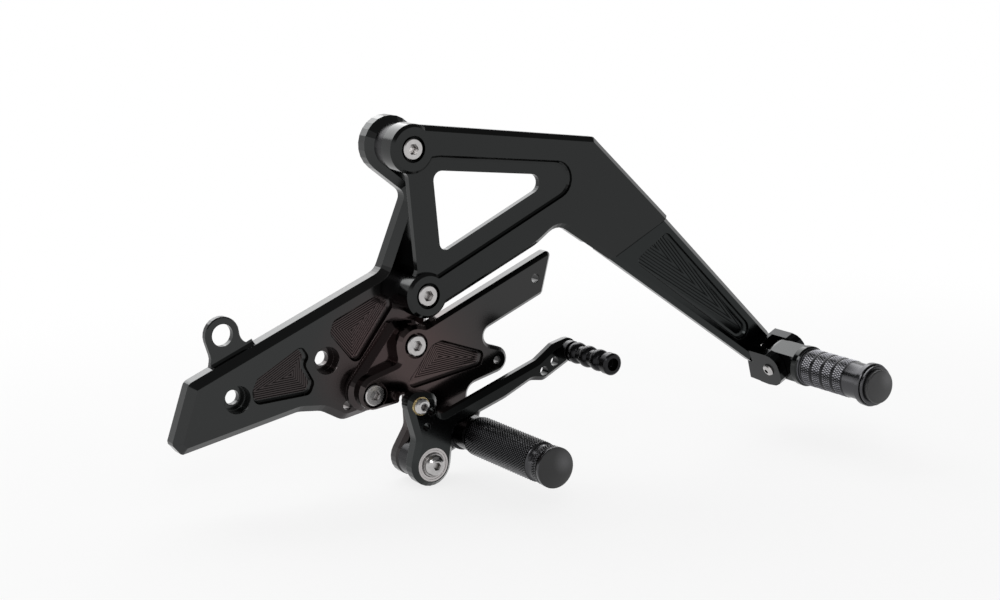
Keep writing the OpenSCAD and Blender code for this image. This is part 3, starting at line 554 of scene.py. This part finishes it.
def knurl(piece, zones):
    """Presses every second point of the zones inwards. A zone is its start and end in mm, its
    rows, and the radius that its points are outside of."""
    mesh = piece.data
    wanted = set()
    for v in mesh.vertices:
        out = -v.co.y / MM
        r = math.hypot(v.co.x, v.co.z) / MM
        for start, end, count, least in zones:
            if start + 0.05 < out < end - 0.05 and r > least:
                column = round(math.atan2(v.co.z, v.co.x) / math.tau * AROUND)
                row = round((out - start) / (end - start) * count)
                if (column + row) % 2:
                    wanted.add(v.index)
    deselect()
    bpy.context.view_layer.objects.active = piece
    piece.select_set(True)
    bpy.ops.object.mode_set(mode="EDIT")
    bpy.ops.mesh.select_all(action="DESELECT")
    bpy.ops.object.mode_set(mode="OBJECT")
    for k in wanted:
        mesh.vertices[k].select = True
    mesh.update()
    widest = max(math.hypot(v.co.x, v.co.z) for v in mesh.vertices) / MM
    share = 1 - KNURL_DEPTH / widest
    bpy.ops.object.mode_set(mode="EDIT")
    bpy.ops.transform.resize(value=(share, 1, share), center_override=(0, 0, 0))
    bpy.ops.mesh.select_all(action="SELECT")
    bpy.ops.mesh.quads_convert_to_tris(quad_method="SHORTEST_DIAGONAL")
    bpy.ops.object.mode_set(mode="OBJECT")


def rows(start, end, r, count):
    """The points of a knurled stretch, whose two ends lie a little lower."""
    radii = [r if 0 < k < count else r - END_DROP for k in range(count + 1)]
    return [(radii[k], start + (end - start) * k / count) for k in range(count + 1)]


# The object

place_camera()
light_studio()
lay_floor(cad_box[0][2])

main_black = milled_anodised("black_anodised_main_plate", "#393a3a", "#4e3e3e", PLATE_POCKETS)
front_black = milled_anodised("black_anodised_front_plate", "#3b3b3b", "#544645", FRONT_POCKETS)
arm_black = milled_anodised("black_anodised_arm", "#2d2f2f", "#2d2f2f", ARM_POCKETS, 0.75, SEAM)
plain_black = milled_anodised("black_anodised_bracket", "#303131", "#303131")
clevis_black = milled_anodised("black_anodised_clevis", "#212223", "#212223")
lever_black = milled_anodised("black_anodised_lever", "#353737", "#353737", shade=LEVER_SHADE)
turned_black = turned_anodised("black_anodised_turned", "#272729", "#2e2e2f")
# The knurls' dark valley colours are painted shade and their pale crest colours painted highlights
rider_knurl = knurled_anodised(
    "black_anodised_rider_knurl",
    RIDER,
    11.9,
    RIDER_START - RIDER_KNURL[1] - 0.1,
    "#0b0b0c",
    "#86868a",
    "#48484a",
)
sleeve_knurl = knurled_anodised(
    "black_anodised_sleeve_knurl",
    HINGE,
    11.95,
    SLEEVE_START - SLEEVE_LEAD - SLEEVE_KNURL,
    "#2a2a2c",
    "#98989e",
    "#4a4a4c",
)
stainless = steel("stainless_screw", "#c4c2c1", "#aaa8a8", 0.2)
bearing = steel("ground_bearing_steel", "#c6c2c1", "#aca8a8", 0.18)
zinc = steel("yellow_zinc_washer", "#d9c79a", "#b9a268", 0.25)
# The caps carry a painted highlight a few mm up and to the rear of their middle
rider_highlight = (RIDER[0] + 5, RIDER[1] + 3.5)
passenger_highlight = (HINGE[0] + 6, HINGE[1] + 5)
rider_nylon = moulded_cap("moulded_nylon_rider_cap", "#0e0e0f", "#141415", rider_highlight)
passenger_nylon = moulded_cap("moulded_nylon_passenger_cap", "#252526", "#2d2d2e", passenger_highlight)

# The screws, bolts, pin and clip that aren't named here are stainless
FINISHES = {
    "main_plate": main_black,
    "front_plate": front_black,
    "passenger_arm": arm_black,
    "passenger_bracket": plain_black,
    "shift_lever": lever_black,
    "passenger_clevis": clevis_black,
    "upper_spacer": turned_black,
    "lower_spacer": turned_black,
    "pivot_bushing": turned_black,
    "toe_peg": turned_black,
    "rider_peg_base": turned_black,
    "passenger_peg_tang": plain_black,
    "rider_peg_barrel": rider_knurl,
    "passenger_peg_sleeve": sleeve_knurl,
    "rider_peg_cap": rider_nylon,
    "passenger_peg_cap": passenger_nylon,
    "bearing_outer_ring": bearing,
    "bearing_inner_ring": bearing,
    "bearing_balls": bearing,
    "bearing_shield": bearing,
    "linkage_washer": zinc,
}
for name, node in nodes.items():
    for slot in node.material_slots:
        slot.material = FINISHES.get(name, stainless)


def rider_barrel():
    """The knurled barrel: a flare, the knurl, a groove, a knurled band, a groove and a ring."""
    start, end = RIDER_KNURL
    band_start, band_end = RIDER_BAND
    profile = [(0, 0), (11.0, 0), (11.9, 2.9), (12.1, 3.5)]
    profile += rows(start, end, KNURL_R, KNURL_ROWS)
    profile += [(11.7, 69.7), (11.1, 70.2), (10.8, 70.9), (10.8, 75.0), (11.2, 75.7), (11.9, 75.9)]
    profile += rows(band_start, band_end, 12.2, BAND_ROWS)
    profile += [(12.0, 80.4), (11.3, 80.6), (11.3, 81.2), (12.2, 81.4), (12.35, 81.7), (12.35, 83.6)]
    profile += [(12.1, 84.0), (0, 84.0)]
    piece = spun("rider_barrel", profile)
    knurl(piece, [(start, end, KNURL_ROWS, 12.3), (band_start, band_end, BAND_ROWS, 12.15)])
    settle(piece, RIDER, RIDER_START, "frame_side", "black_knurl", rider_knurl, "rider_peg_barrel")


def rider_cap():
    """The rider peg's end cap, domed by 1.7 mm."""
    profile = [(0, 84.0), (12.0, 84.0), (12.2, 84.15)]
    profile += [(12.2 * k / 12, 84.3 + 1.7 * (1 - (k / 12) ** 2)) for k in range(11, 0, -1)]
    profile.append((0, 86.0))
    piece = spun("rider_cap", profile)
    settle(piece, RIDER, RIDER_START, "frame_side", "cap_black", rider_nylon, "rider_peg_cap")


def passenger_sleeve():
    """The knurled sleeve: a lead, four knurled zones, a plain neck and two end flanges."""
    profile = [(0, 0), (12.3, 0), (11.6, 0.9), (11.6, 1.9), (12.2, 2.4)]
    zones = []
    for k in range(SLEEVE_ZONES):
        start = SLEEVE_LEAD + k * SLEEVE_ZONE + (SLEEVE_GROOVE if k else 0)
        end = SLEEVE_LEAD + (k + 1) * SLEEVE_ZONE - SLEEVE_GROOVE
        profile += rows(start, end, KNURL_R, SLEEVE_ROWS)
        zones.append((start, end, SLEEVE_ROWS, 12.3))
        if k < SLEEVE_ZONES - 1:
            profile += [(11.8, end + 0.2), (11.6, end + 0.45), (11.8, end + 0.7)]
    profile += [(11.8, 42.4), (11.8, 54.0), (13.3, 54.9), (14, 55.6), (14, 59.0), (13.5, 59.5)]
    profile += [(12.5, 59.5), (12.4, 60.0), (13.0, 60.3), (13.0, 61.5), (12.4, 62.0), (0, 62.0)]
    piece = spun("passenger_sleeve", profile)
    knurl(piece, zones)
    settle(
        piece,
        HINGE,
        SLEEVE_START,
        "passenger_peg",
        "black_knurl",
        sleeve_knurl,
        "passenger_peg_sleeve",
    )


def passenger_cap():
    """The passenger peg's end cap, with a rounded rim and a dome of 0.9 mm."""
    profile = [(0, 62.0), (10.7, 62.0), (10.9, 62.2), (10.9, 64.9)]
    for degrees in (20, 40, 60, 80):
        turn = math.radians(degrees)
        profile.append((9.7 + 1.2 * math.cos(turn), 64.9 + 0.7 * math.sin(turn)))
    profile += [(9.6 * k / 8, 65.6 + 0.9 * (1 - (k / 8) ** 2)) for k in range(7, -1, -1)]
    piece = spun("passenger_cap", profile)
    settle(
        piece,
        HINGE,
        SLEEVE_START,
        "passenger_peg",
        "cap_black",
        passenger_nylon,
        "passenger_peg_cap",
    )


def eye_fillet():
    """The hollow fillet where the thin eye lug meets the top wall of the main plate.

    It runs for 29.5 mm along the plate's top edge, has a radius of 3.2 mm, and is set 0.4 mm
    into the wall and 0.5 mm into the lug.
    """
    left, low = -28.8, 12.6
    right, high = 99.2, 65.4
    first = -12.3
    slope = math.atan2(high - low, right - left)
    along = Vector((math.cos(slope), 0, math.sin(slope)))
    up = Vector((-math.sin(slope), 0, math.cos(slope)))
    start = Vector((first, 0, low + (first - left) * math.tan(slope)))
    r = 3.2
    face, sunk, lug = -7.5, -4.0, -4.45
    section = [(-0.4, sunk), (-0.4, face)]
    for degrees in range(0, 91, 15):
        turn = math.radians(degrees)
        section.append((r - r * math.cos(turn), min(face + r * math.sin(turn), lug)))
    section.append((r, sunk))
    points = [start + up * rise + Vector((0, y, 0)) for rise, y in section]
    piece = draw_line("eye_fillet", points)
    bpy.ops.mesh.edge_face_add()
    bpy.ops.mesh.extrude_region_move(TRANSFORM_OT_translate={"value": along * 29.5 * MM})
    bpy.ops.mesh.select_all(action="SELECT")
    bpy.ops.mesh.normals_make_consistent(inside=False)
    bpy.ops.object.mode_set(mode="OBJECT")
    settle(piece, (0, 0), 0, "frame_side", "black_plate", main_black)


eye_fillet()
rider_barrel()
rider_cap()
passenger_sleeve()
passenger_cap()

bpy.context.scene.view_settings.view_transform = "Standard"
